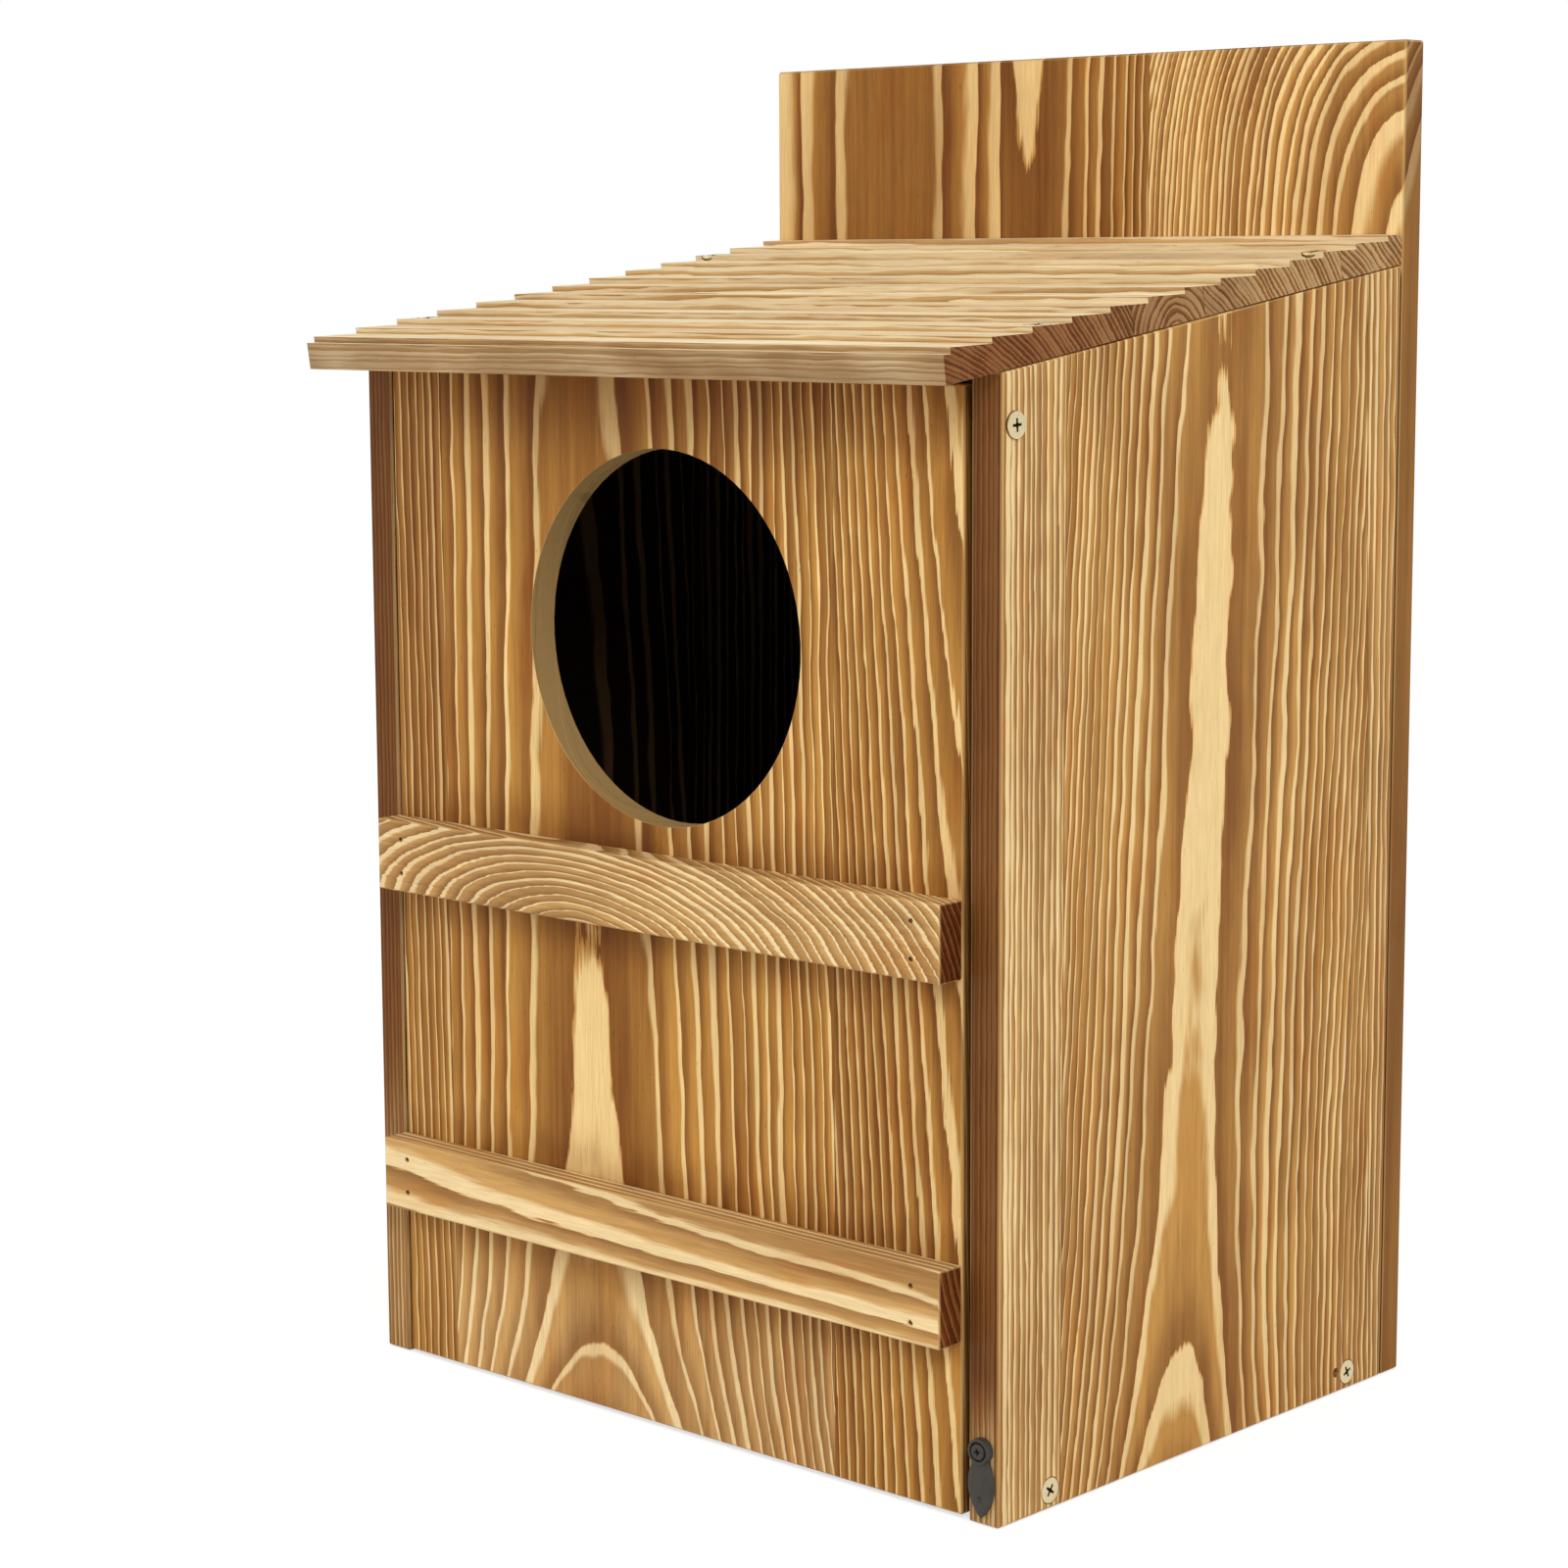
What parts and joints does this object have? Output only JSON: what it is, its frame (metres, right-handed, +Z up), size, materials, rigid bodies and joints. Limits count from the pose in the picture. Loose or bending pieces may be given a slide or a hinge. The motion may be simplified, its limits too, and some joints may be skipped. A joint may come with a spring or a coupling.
{
  "type": "owl nest box",
  "caption": "Torched pine nest box with a stepped lean-to roof, round entrance hole, and a battened front door that swings out and is held by a turn button.",
  "frame": {"origin": "centre of the bounding box's underside, on the surface that the box stands on", "axes": "+Z up, -Y out of the front with the entrance hole, +X to the right of someone who faces the front, where the turn button is"},
  "size_m": [0.2918, 0.2512, 0.466],
  "materials": {
    "side_boards": "torched pine, brushed, satin, with pale growth lines",
    "back_board": "torched edge-glued pine, satin",
    "floor_board": "torched pine, satin",
    "roof_board": "lightly torched pine with lapped steps, satin",
    "door_board": "torched pine, satin, with a pale sawn hole wall",
    "battens": "torched pine strip, satin",
    "yellow_zinc_screws": "yellow zinc plate, semi-bright",
    "brads": "dark drawn wire",
    "black_latch": "black lacquer on cast zinc, satin",
    "black_screw": "black lacquer on steel, satin"
  },
  "bodies": {
    "box": {"left_side_panel": "side_boards", "right_side_panel": "side_boards", "back_panel": "back_board", "floor_panel": "floor_board", "roof_board": "roof_board", "floor_screw_left_front": "yellow_zinc_screws", "floor_screw_left_rear": "yellow_zinc_screws", "floor_screw_right_front": "yellow_zinc_screws", "floor_screw_right_rear": "yellow_zinc_screws", "roof_screw_left_front": "yellow_zinc_screws", "roof_screw_left_rear": "yellow_zinc_screws", "roof_screw_right_front": "yellow_zinc_screws", "roof_screw_right_rear": "yellow_zinc_screws", "back_screw_left_1": "yellow_zinc_screws", "back_screw_left_2": "yellow_zinc_screws", "back_screw_left_3": "yellow_zinc_screws", "back_screw_right_1": "yellow_zinc_screws", "back_screw_right_2": "yellow_zinc_screws", "back_screw_right_3": "yellow_zinc_screws", "back_floor_screw_left": "yellow_zinc_screws", "back_floor_screw_right": "yellow_zinc_screws", "latch_screw": "black_screw"},
    "door": {"door_panel": "door_board", "upper_batten": "battens", "lower_batten": "battens", "upper_batten_brad_left_low": "brads", "upper_batten_brad_left_high": "brads", "upper_batten_brad_right_low": "brads", "upper_batten_brad_right_high": "brads", "lower_batten_brad_left_low": "brads", "lower_batten_brad_left_high": "brads", "lower_batten_brad_right_low": "brads", "lower_batten_brad_right_high": "brads", "pivot_screw_left": "yellow_zinc_screws", "pivot_screw_right": "yellow_zinc_screws"},
    "turn_button": {"latch_plate": "black_latch"}
  },
  "joints": [
    {"name": "door_swing", "type": "hinge", "parent": "box", "child": "door", "pos_m": [0, -0.0924, 0.344], "axis": [-1, 0, 0], "range_deg": [0, 100]},
    {"name": "latch_turn", "type": "hinge", "parent": "box", "child": "turn_button", "pos_m": [0.139, -0.0987, 0.0245], "axis": [0, 1, 0], "continuous": true}
  ]
}
